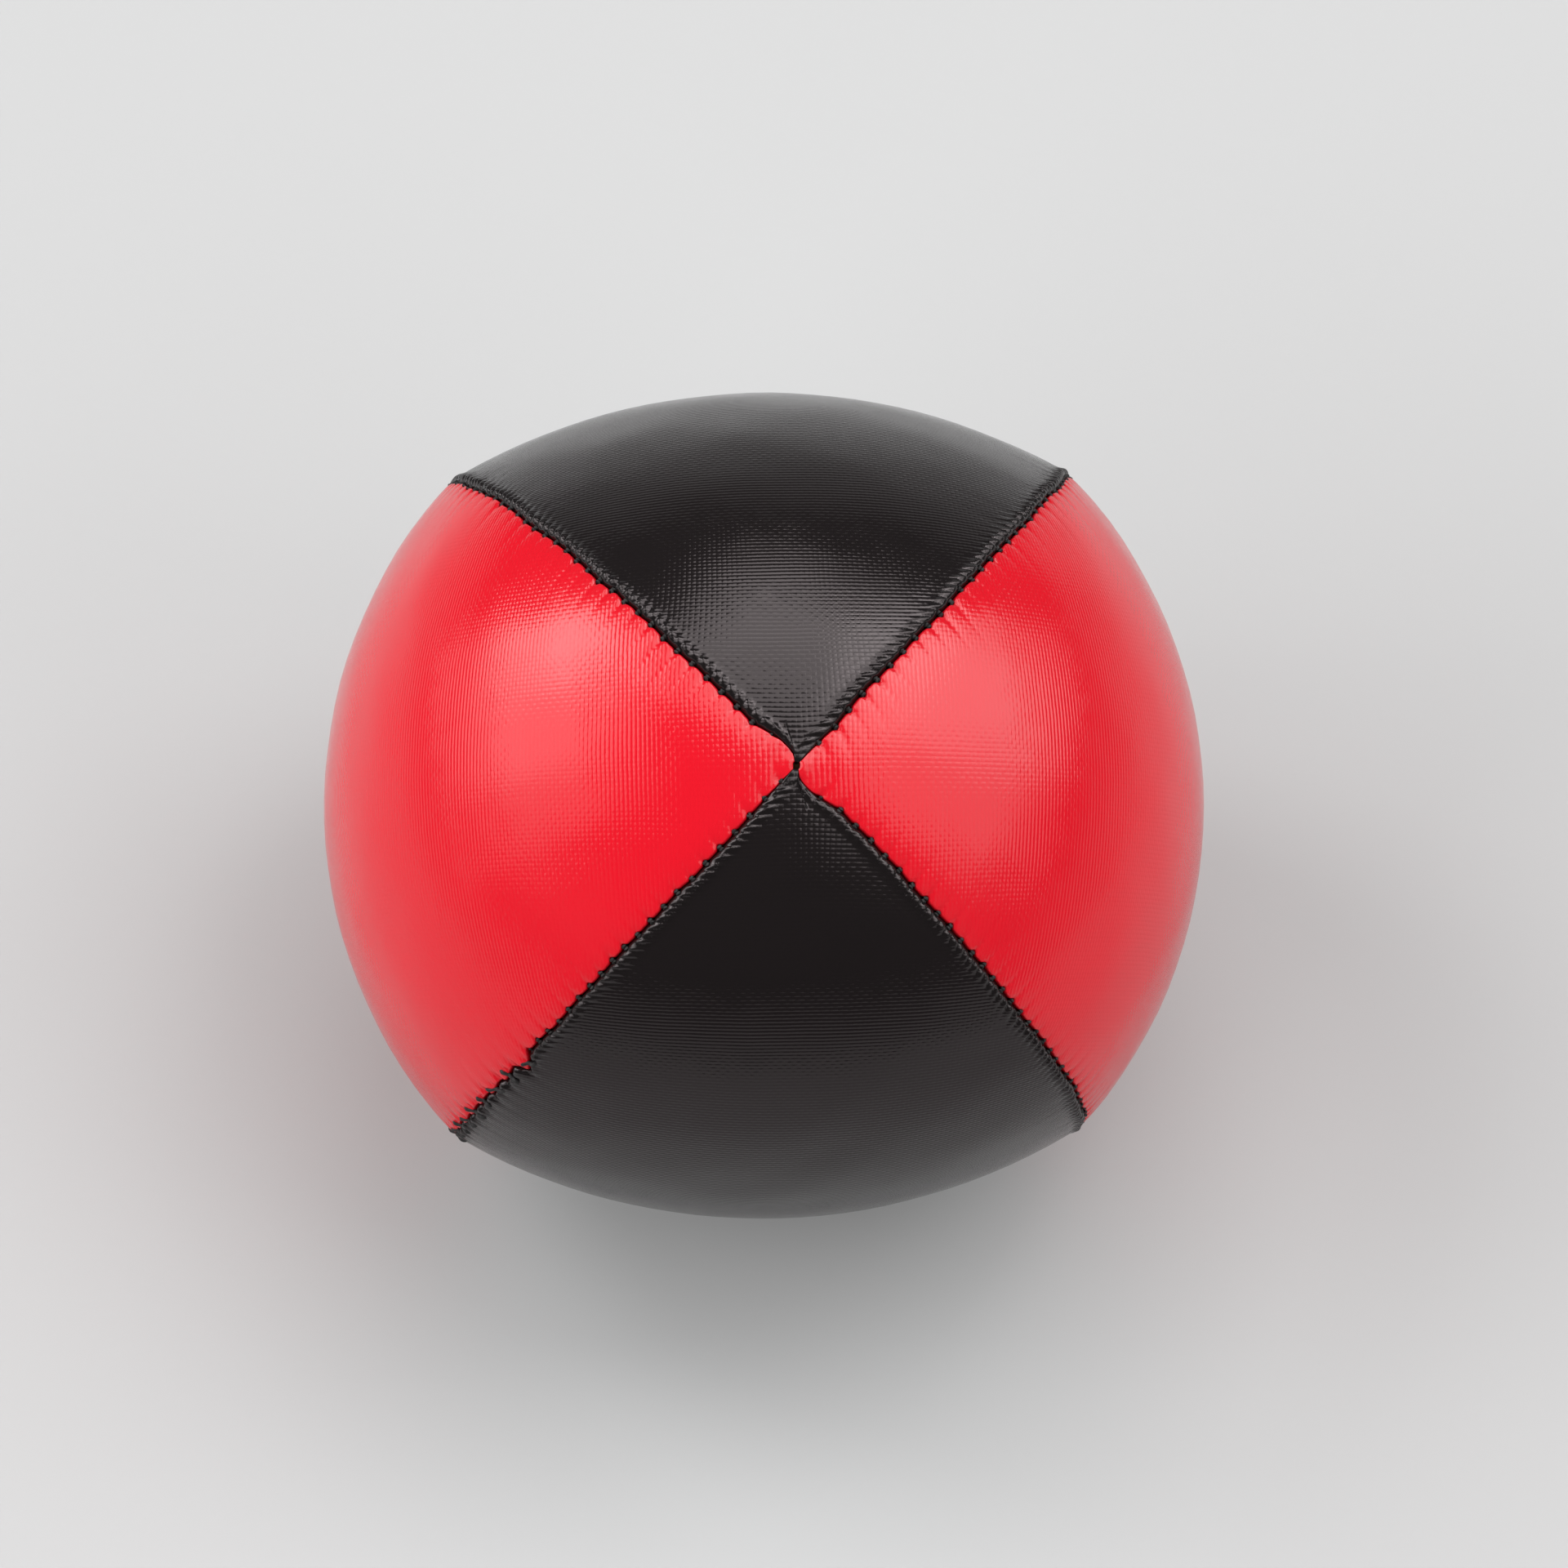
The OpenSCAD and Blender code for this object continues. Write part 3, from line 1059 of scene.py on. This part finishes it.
@dataclass
class ClosingStitches:
    """The hand sewing that shuts the filling gap."""

    shape: BallShape
    sewing: Sewing
    node: str = "closing_thread"

    def build(self) -> bpy.types.Object:
        """One thread whipped over the closed gap."""
        s = self.sewing
        rng = np.random.default_rng(s.seed)
        span = (s.closing_end - s.closing_start) / s.closing_stitches
        path = []
        for i in range(s.closing_stitches):
            hole = s.closing_start + span * (i + 0.42)
            wide = s.closing_reach * rng.uniform(0.75, 1.15)
            lean = span * rng.uniform(0.1, 0.4)
            path += [
                (hole - lean, wide, 0.5),
                (hole - lean * 0.6, wide * 0.75, 0.12),
                (hole, 0.0, 0.3),
                (hole + lean * 0.6, -wide * 0.6, 0.12),
                (hole + lean, -wide * 0.8, 0.5),
                (hole + span * 0.35, -wide * 0.2, 1.1),
                (hole + span * 0.55, wide * 0.7, 0.95),
            ]
        route = SeamLine(self.shape, s, Seam.LOWER_LEFT).beside(*np.array(path).T)
        piece = Thread(self.node + "_strand", radius=0.16, sides=8).build(smooth_route(route, 3))
        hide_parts(self.node)
        return piece


def smooth_route(points: np.ndarray, cuts: int) -> np.ndarray:
    """Round a route off by a Catmull-Rom curve through its points.

    Args:
        points: the route's points.
        cuts: new points for each stretch.

    Returns:
        The rounded route.
    """
    padded = np.concatenate([points[:1], points, points[-1:]])
    out = []
    for i in range(len(points) - 1):
        a, b, c, d = padded[i : i + 4]
        for k in range(cuts):
            x = k / cuts
            out.append(0.5 * (2 * b + (c - a) * x + (2 * a - 5 * b + 4 * c - d) * x * x
                              + (3 * b - a - 3 * c + d) * x**3))
    out.append(points[-1])
    return np.array(out)


# ---------------------------------------------------------------------------
# Filling
# ---------------------------------------------------------------------------


@dataclass
class MilletFilling:
    """The grain: a packed core with a layer of separate seeds over it."""

    shape: BallShape
    node: str = "millet_fill"
    seeds_shown: int = 3600
    seed_length: float = 2.1
    seed_width: float = 1.8
    clearance: float = 0.15
    slot: float = 1.7
    slot_slope: float = 1.2
    end_angle: float = 3.0
    seed: int = 5

    def surface(self, t: np.ndarray, azimuth: np.ndarray, lower: float) -> np.ndarray:
        """Points of the filling's face, so far below the cloth's inner face."""
        shape = self.shape
        radius = shape.seam_radius * shape.reach(t)
        nearest = np.full_like(azimuth, np.inf)
        for seam in Seam:
            turn = np.mod(azimuth - seam.azimuth(shape.red_spread) + 180, 360) - 180
            nearest = np.minimum(nearest, np.radians(np.abs(turn)) * radius)
        groove = shape.allowance_at(t) * (1 - ease((nearest - self.slot) / self.slot_slope))
        depth = shape.fabric + self.clearance + lower + groove
        return shape.skin(t, azimuth) + shape.inward(t, azimuth) * depth[..., None]

    def seed_places(self) -> np.ndarray:
        """Middles of the seeds, spread evenly over the filling's face."""
        k = np.arange(self.seeds_shown) + 0.5
        t = np.degrees(np.arccos(1 - 2 * k / self.seeds_shown))
        t = np.clip(t, self.end_angle, 180 - self.end_angle)
        return self.surface(t, np.mod(k * GOLDEN_ANGLE, 360), self.seed_width * 0.55)

    def bead(self) -> tuple[np.ndarray, np.ndarray]:
        """Points and faces of a round bead 1 across."""
        bpy.ops.object.select_all(action="DESELECT")
        bpy.ops.mesh.primitive_ico_sphere_add(subdivisions=1, radius=0.5)
        bead = bpy.context.object
        points = np.array([tuple(v.co) for v in bead.data.vertices])
        faces = np.array([tuple(p.vertices) for p in bead.data.polygons])
        bpy.data.objects.remove(bead, do_unlink=True)
        return points, faces

    def build(self) -> bpy.types.Object:
        """Make the core and its seeds as one piece.

        Returns:
            The filling.
        """
        along = np.linspace(self.end_angle, 180 - self.end_angle, 88)
        t, azimuth = np.meshgrid(along, np.arange(0, 360, 3.0), indexing="ij")
        core, faces = rings_to_skin(self.surface(t, azimuth, self.seed_width * 0.5))
        points, marks, base = [core], [np.zeros_like(core)], len(core)
        bead, bead_faces = self.bead()
        rng = np.random.default_rng(self.seed)
        for place in self.seed_places():
            turn = np.linalg.qr(rng.normal(size=(3, 3)))[0]
            if np.linalg.det(turn) < 0:
                turn[:, 0] *= -1
            size = np.array([self.seed_length, self.seed_width, self.seed_width])
            size = size * rng.uniform(0.85, 1.1)
            points.append((bead * size) @ turn.T + place)
            marks.append(np.tile([rng.uniform(0, 1), rng.uniform(0, 1), 1.0], (len(bead), 1)))
            faces += (bead_faces + base).tolist()
            base += len(bead)
        piece = make_mesh(self.node + "_grain", np.concatenate(points), faces)
        write_attribute(piece, "grain", np.concatenate(marks))
        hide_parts(self.node)
        return piece


# ---------------------------------------------------------------------------
# Finishes
# ---------------------------------------------------------------------------


class Wire:
    """A node socket with arithmetic: an expression on wires adds its Math nodes."""

    def __init__(self, tree: bpy.types.NodeTree, socket: bpy.types.NodeSocket) -> None:
        """Wrap one output socket of a node tree."""
        self.tree, self.socket = tree, socket

    def math(self, operation: str, *others: object) -> Wire:
        """Result of a Math node on this wire and the others."""
        made = add_node(self.tree, "ShaderNodeMath", {"operation": operation}, {
            i: value for i, value in enumerate((self, *others))
        })
        return Wire(self.tree, made.outputs[0])

    def __add__(self, other: object) -> Wire:
        """Sum."""
        return self.math("ADD", other)

    def __mul__(self, other: object) -> Wire:
        """Product."""
        return self.math("MULTIPLY", other)

    def __rsub__(self, other: object) -> Wire:
        """Difference the other way round."""
        return Wire(self.tree, add_node(self.tree, "ShaderNodeMath", {"operation": "SUBTRACT"}, {
            0: other, 1: self
        }).outputs[0])

    def __truediv__(self, other: object) -> Wire:
        """Quotient."""
        return self.math("DIVIDE", other)

    __radd__ = __add__
    __rmul__ = __mul__

    def sin(self) -> Wire:
        """Sine, of radians."""
        return self.math("SINE")

    def size(self) -> Wire:
        """The value without its sign."""
        return self.math("ABSOLUTE")

    def clamp(self) -> Wire:
        """The value kept from 0 to 1."""
        made = add_node(self.tree, "ShaderNodeClamp", {}, {0: self})
        return Wire(self.tree, made.outputs[0])


def add_node(tree: bpy.types.NodeTree, kind: str, settings: dict, inputs: dict) -> bpy.types.Node:
    """Add one node, set it and join its inputs.

    Args:
        tree: the material's node tree.
        kind: the node's type.
        settings: attributes of the node, set first.
        inputs: values or wires, by socket name or number.

    Returns:
        The node.
    """
    node = tree.nodes.new(kind)
    for key, value in settings.items():
        setattr(node, key, value)
    for key, value in inputs.items():
        socket = node.inputs[key]
        if isinstance(value, Wire):
            tree.links.new(value.socket, socket)
        else:
            socket.default_value = value
    return node


class Finish:
    """Start of a material: a node tree with a Principled shader in it."""

    def __init__(self, name: str) -> None:
        """Make the empty material."""
        self.material = bpy.data.materials.new(name)
        self.material.use_nodes = True
        self.tree = self.material.node_tree
        self.tree.nodes.clear()
        self.shader = self.tree.nodes.new("ShaderNodeBsdfPrincipled")
        out = self.tree.nodes.new("ShaderNodeOutputMaterial")
        self.tree.links.new(self.shader.outputs[0], out.inputs[0])

    def node(self, kind: str, settings: dict | None = None, inputs: dict | None = None) -> bpy.types.Node:
        """Add a node to this material."""
        return add_node(self.tree, kind, settings or {}, inputs or {})

    def wire(self, node: bpy.types.Node, output: str | int = 0) -> Wire:
        """One output of a node as a wire."""
        return Wire(self.tree, node.outputs[output])

    def attribute(self, name: str) -> tuple[Wire, Wire, Wire]:
        """The three numbers that a piece stores for each vertex."""
        read = self.node("ShaderNodeAttribute", {"attribute_name": name})
        parts = self.node("ShaderNodeSeparateXYZ", {}, {0: self.wire(read, "Vector")})
        return self.wire(parts, 0), self.wire(parts, 1), self.wire(parts, 2)

    def place(self) -> Wire:
        """Object coordinates."""
        return self.wire(self.node("ShaderNodeTexCoord"), "Object")

    def noise(self, scale: float, detail: float = 3.0, rough: float = 0.5) -> Wire:
        """Noise, 0 to 1.

        Args:
            scale: how many times it repeats in a metre.
            detail: octaves.
            rough: strength of the finer octaves.

        Returns:
            The noise's value.
        """
        made = self.node("ShaderNodeTexNoise", {"noise_dimensions": "3D"}, {
            "Vector": self.place(), "Scale": scale, "Detail": detail, "Roughness": rough
        })
        return self.wire(made, "Fac")

    def mix(self, share: Wire, first: tuple, second: tuple) -> Wire:
        """Blend of two colours, each of red, green and blue."""
        made = self.node("ShaderNodeMix", {"data_type": "RGBA"}, {0: share})
        for number, colour in ((6, first), (7, second)):
            made.inputs[number].default_value = (*colour, 1.0)
        return self.wire(made, 2)

    def bump(self, height: Wire, distance: float) -> None:
        """Let a height in 0 to 1 shape the light over so many millimetres."""
        made = self.node("ShaderNodeBump", {}, {
            "Height": height, "Distance": distance * MM, "Strength": 1.0
        })
        self.tree.links.new(made.outputs[0], self.shader.inputs["Normal"])

    def feed(self, name: str, value: object) -> None:
        """Set a socket of the shader, or join a wire to it."""
        if isinstance(value, Wire):
            self.tree.links.new(value.socket, self.shader.inputs[name])
        else:
            self.shader.inputs[name].default_value = value


@dataclass(frozen=True)
class CoatedCloth:
    """Glossy plastic coating over plain-woven cloth, through which the weave shows."""

    name: str
    colour: tuple[float, float, float]
    shade: tuple[float, float, float]
    roughness: float = 0.13
    gloss: float = 0.37
    sheen_tone: tuple[float, float, float] = (1.0, 1.0, 1.0)
    yarn: float = 0.36
    emboss: float = 0.021
    yarn_drift: float = 0.16
    seam_reach: float = 1.6

    def build(self) -> bpy.types.Material:
        """Make the material; the weave follows the cloth's own threads."""
        finish = Finish(self.name)
        u, v, edge = finish.attribute("cloth")
        drift = finish.noise(260, 2.0) * self.yarn_drift
        weft = ((u + drift) * (math.pi / self.yarn)).sin()
        warp = ((v + drift) * (math.pi / self.yarn)).sin()
        weave = weft.size() * 0.58 + warp.size() * 0.22 + weft * warp * 0.12 + 0.12
        worn, peel = finish.noise(700, 2.0), finish.noise(5200, 2.0, 0.6)
        finish.bump(weave * (worn * 0.7 + 0.62) + peel * 0.14, self.emboss)
        patch = finish.noise(120, 4.0, 0.55)
        near_seam = (1.0 - edge / self.seam_reach).clamp()
        finish.feed("Roughness", patch * 0.09 + (self.roughness - 0.045) + near_seam * 0.06)
        # Random patches vary the cloth's tone; the darkening beside the seams is painted shade.
        mottle_and_seam_shade = (patch * 0.35 + near_seam * 0.5).clamp()
        finish.feed("Base Color", finish.mix(mottle_and_seam_shade, self.colour, self.shade))
        finish.feed("IOR", 1.5)
        finish.feed("Specular IOR Level", self.gloss)
        finish.feed("Specular Tint", (*self.sheen_tone, 1.0))
        return finish.material


@dataclass(frozen=True)
class SewingThread:
    """Twisted polyester thread."""

    name: str = "black_thread"
    colour: tuple[float, float, float] = (0.006, 0.005, 0.005)
    fuzz: tuple[float, float, float] = (0.016, 0.015, 0.015)
    twist: float = 0.55

    def build(self) -> bpy.types.Material:
        """Make the material; the twist follows the thread."""
        finish = Finish(self.name)
        length, angle, _ = finish.attribute("strand")
        ply = (length * (2 * math.pi / self.twist) + angle * 2.0).sin()
        finish.bump(ply * 0.5 + 0.5, 0.04)
        finish.feed("Base Color", finish.mix((ply * 0.35 + 0.35).clamp(), self.colour, self.fuzz))
        finish.feed("Roughness", finish.noise(3000) * 0.2 + 0.6)
        return finish.material


@dataclass(frozen=True)
class MilletHusk:
    """Polished yellow millet seed."""

    name: str = "millet"
    pale: tuple[float, float, float] = (0.80, 0.60, 0.27)
    deep: tuple[float, float, float] = (0.55, 0.33, 0.10)

    def build(self) -> bpy.types.Material:
        """Make the material; each seed has its own shade."""
        finish = Finish(self.name)
        tone, gloss, _ = finish.attribute("grain")
        ripe = (tone * 0.8 + finish.noise(1500) * 0.3).clamp()
        finish.feed("Base Color", finish.mix(ripe, self.pale, self.deep))
        finish.feed("Roughness", gloss * 0.2 + 0.3)
        finish.bump(finish.noise(4000, 3.0), 0.03)
        return finish.material


# ---------------------------------------------------------------------------
# Studio
# ---------------------------------------------------------------------------


@dataclass(frozen=True)
class SoftBox:
    """A plain white soft box that faces the ball.

    Args:
        name: what it is called.
        azimuth: its bearing in degrees, anticlockwise from the right-hand side.
        zenith: its angle in degrees from straight overhead.
        wide: its width in metres.
        tall: its height in metres.
        brightness: radiance of its face.
        distance: its distance from the ball in metres.
        mirrored: whether glossy cloth mirrors it; a polarised fill isn't mirrored.
    """

    name: str
    azimuth: float
    zenith: float
    wide: float
    tall: float
    brightness: float
    distance: float = 1.1
    mirrored: bool = True

    def build(self) -> None:
        """Hang the box in the scene."""
        lamp = bpy.data.lights.new(self.name, "AREA")
        lamp.shape = "RECTANGLE"
        lamp.size, lamp.size_y = self.wide, self.tall
        lamp.energy = self.brightness * math.pi * self.wide * self.tall
        a, z = math.radians(self.azimuth), math.radians(self.zenith)
        way = Vector((math.sin(z) * math.cos(a), math.sin(z) * math.sin(a), math.cos(z)))
        holder = bpy.data.objects.new(self.name, lamp)
        holder.location = way * self.distance
        holder.rotation_euler = Euler((z, 0.0, a + math.pi / 2))
        holder.visible_glossy = self.mirrored
        bpy.context.scene.collection.objects.link(holder)


@dataclass
class Studio:
    """Pale floor, soft light and the camera."""

    shape: BallShape
    elevation: float = 55.0
    distance: float = 0.7256
    view_width: float = 0.11609
    aim_right: float = 0.00151
    aim_up: float = 0.00145
    floor_tone: float = 0.355
    room_light: float = 0.12

    def floor(self) -> None:
        """Lay a wide matt sheet on z = 0."""
        bpy.ops.object.select_all(action="DESELECT")
        bpy.ops.mesh.primitive_plane_add(size=6.0, location=(0, 0, 0))
        sheet = bpy.context.object
        sheet.name = "floor"
        finish = Finish("pale_paper")
        patch = finish.noise(3.0, 3.0)
        tone = self.floor_tone
        plain, cool = (tone, tone, tone), (tone * 0.98, tone * 0.985, tone)
        finish.feed("Base Color", finish.mix(patch * 0.3, plain, cool))
        finish.feed("Roughness", 0.85)
        sheet.data.materials.append(finish.material)

    def lights(self) -> None:
        """Hang the soft boxes and set the room's dim light."""
        boxes = [
            SoftBox("overhead_box", 66, 17, 0.78, 0.82, 3.0),
            SoftBox("overhead_back_box", 88, 28, 0.36, 0.22, 1.2),
            SoftBox("left_wide_box", 171, 52, 0.96, 0.96, 1.45),
            SoftBox("left_box", 164, 52, 0.65, 0.96, 1.5),
            SoftBox("left_bright_box", 151, 45, 0.34, 0.62, 3.7),
            SoftBox("right_wide_box", 0, 40, 0.95, 1.15, 1.8),
            SoftBox("right_box", 18, 44, 0.58, 1.00, 2.15),
            SoftBox("back_wall", 80, 79, 1.60, 0.45, 0.4),
            SoftBox("front_left_fill", 208, 64, 1.10, 0.70, 4.8, mirrored=False),
            SoftBox("front_fill", 270, 70, 1.40, 0.40, 0.8, mirrored=False),
            SoftBox("front_right_fill", 324, 62, 0.90, 0.70, 3.2, mirrored=False),
        ]
        for box in boxes:
            box.build()
        world = bpy.data.worlds.new("room")
        world.use_nodes = True
        back = world.node_tree.nodes["Background"]
        back.inputs[0].default_value = (1.0, 1.0, 1.0, 1.0)
        back.inputs[1].default_value = self.room_light
        bpy.context.scene.world = world

    def camera(self) -> None:
        """Stand the camera in front of the ball, looking down at it."""
        e = math.radians(self.elevation)
        back = Vector((0, -math.cos(e), math.sin(e)))
        up = Vector((0, math.sin(e), math.cos(e)))
        middle = Vector((0, 0, self.shape.middle_height * MM))
        aim = middle + Vector((self.aim_right, 0, 0)) + up * self.aim_up
        lens = bpy.data.cameras.new("camera")
        lens.sensor_width = 36.0
        lens.lens = 36.0 * self.distance / self.view_width
        lens.clip_start = 0.05
        holder = bpy.data.objects.new("camera", lens)
        holder.location = aim + back * self.distance
        holder.rotation_euler = (-back).to_track_quat("-Z", "Y").to_euler()
        bpy.context.scene.collection.objects.link(holder)
        bpy.context.scene.camera = holder
        bpy.context.scene.view_settings.view_transform = "Standard"

    def build(self) -> None:
        """Set up the whole studio."""
        self.camera()
        self.floor()
        self.lights()


# ---------------------------------------------------------------------------
# The ball
# ---------------------------------------------------------------------------


@dataclass
class JugglingBall:
    """The whole ball: four panels, their threads and the filling."""

    shape: BallShape = field(default_factory=BallShape)
    sewing: Sewing = field(default_factory=Sewing)

    def finishes(self) -> dict[str, bpy.types.Material]:
        """Every material, by the slot it fills."""
        red = CoatedCloth("red_coated_cloth", (0.45, 0.0040, 0.0112), (0.405, 0.0035, 0.0094))
        black = CoatedCloth("black_coated_cloth", (0.0060, 0.0046, 0.0048), (0.0035, 0.003, 0.003),
                            sheen_tone=(1.0, 0.88, 0.89))
        return {
            "red_fabric": red.build(),
            "black_fabric": black.build(),
            "black_thread": SewingThread().build(),
            "millet": MilletHusk().build(),
        }

    def panels(self) -> list[ClothPanel]:
        """The four panels, in the order they are cut."""
        red = Edge(stand_off=0.05, roll=0.2, rim=0.0, lump=0.02, dent=0.12, scallop=0.24, crease=0.012,
                   crease_reach=0.9, sag=0.2)
        black = Edge(stand_off=0.04, roll=0.4, rim=0.09, lump=0.2, dent=0.05, scallop=0.06, crease=0.008,
                     crease_reach=1.1, sag=0.06, rim_place=0.62, rim_spread=0.36)
        upper = (Gather(Seam.UPPER_RIGHT, 36, 104, 0.09, 1.6), Gather(Seam.UPPER_LEFT, 36, 104, 0.09, 1.5))
        lower = (Gather(Seam.LOWER_RIGHT, 40, 110, 0.08, 1.3),)
        cut = [
            ("red_panel_left", Cloth.RED, Seam.UPPER_LEFT, Seam.LOWER_LEFT, red, (), 3),
            ("red_panel_right", Cloth.RED, Seam.LOWER_RIGHT, Seam.UPPER_RIGHT, red, (), 7),
            ("black_panel_top", Cloth.BLACK, Seam.UPPER_RIGHT, Seam.UPPER_LEFT, black, upper, 13),
            ("black_panel_bottom", Cloth.BLACK, Seam.LOWER_LEFT, Seam.LOWER_RIGHT, black, lower, 17),
        ]
        return [ClothPanel(self.shape, self.sewing, *piece) for piece in cut]

    def build(self) -> None:
        """Build every piece, dress it and fix it to the ball."""
        finishes = self.finishes()
        for panel in self.panels():
            piece = panel.build()
            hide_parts(panel.node)
            width = 2 * math.radians(panel.half) * self.shape.seam_radius + 2 * self.shape.allowance
            panel.cut_area() * MM * MM
            self.dress(piece, panel.cloth.value, finishes)
        sewing = self.sewing
        first, half = 1.5 * sewing.step, sewing.stitches - 3
        runs = [
            MachineSeam(self.shape, sewing, Seam.UPPER_LEFT, first, 180 - first, half, "first_half"),
            MachineSeam(self.shape, sewing, Seam.LOWER_RIGHT, first, 180 - first, half, "second_half"),
            MachineSeam(self.shape, sewing, Seam.LOWER_LEFT, sewing.closing_end,
                        sewing.closing_end + sewing.joined_span, sewing.joining_stitches, "joining"),
        ]
        for run in runs:
            for piece in run.build():
                self.dress(piece, "black_thread", finishes)
        self.dress(ClosingStitches(self.shape, self.sewing).build(), "black_thread", finishes)
        self.dress(MilletFilling(self.shape).build(), "millet", finishes)

    def dress(self, piece: bpy.types.Object, slot: str, finishes: dict[str, bpy.types.Material]) -> None:
        """Give a piece its material and fix it to the ball.

        Args:
            piece: the mesh object.
            slot: its material slot.
            finishes: every material, by slot.
        """
        piece.data.materials.append(finishes[slot])
        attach(piece, "root")
        LOG.info("%s: %d faces, %s", piece.name, len(piece.data.polygons), slot)


def main() -> None:
    """Build the ball and its studio, and note how large the visual model is."""
    logging.basicConfig(level=logging.INFO, format="%(name)s: %(message)s")
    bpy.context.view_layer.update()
    ball = JugglingBall()
    Studio(ball.shape).build()
    ball.build()


if __name__ == "__main__":
    main()
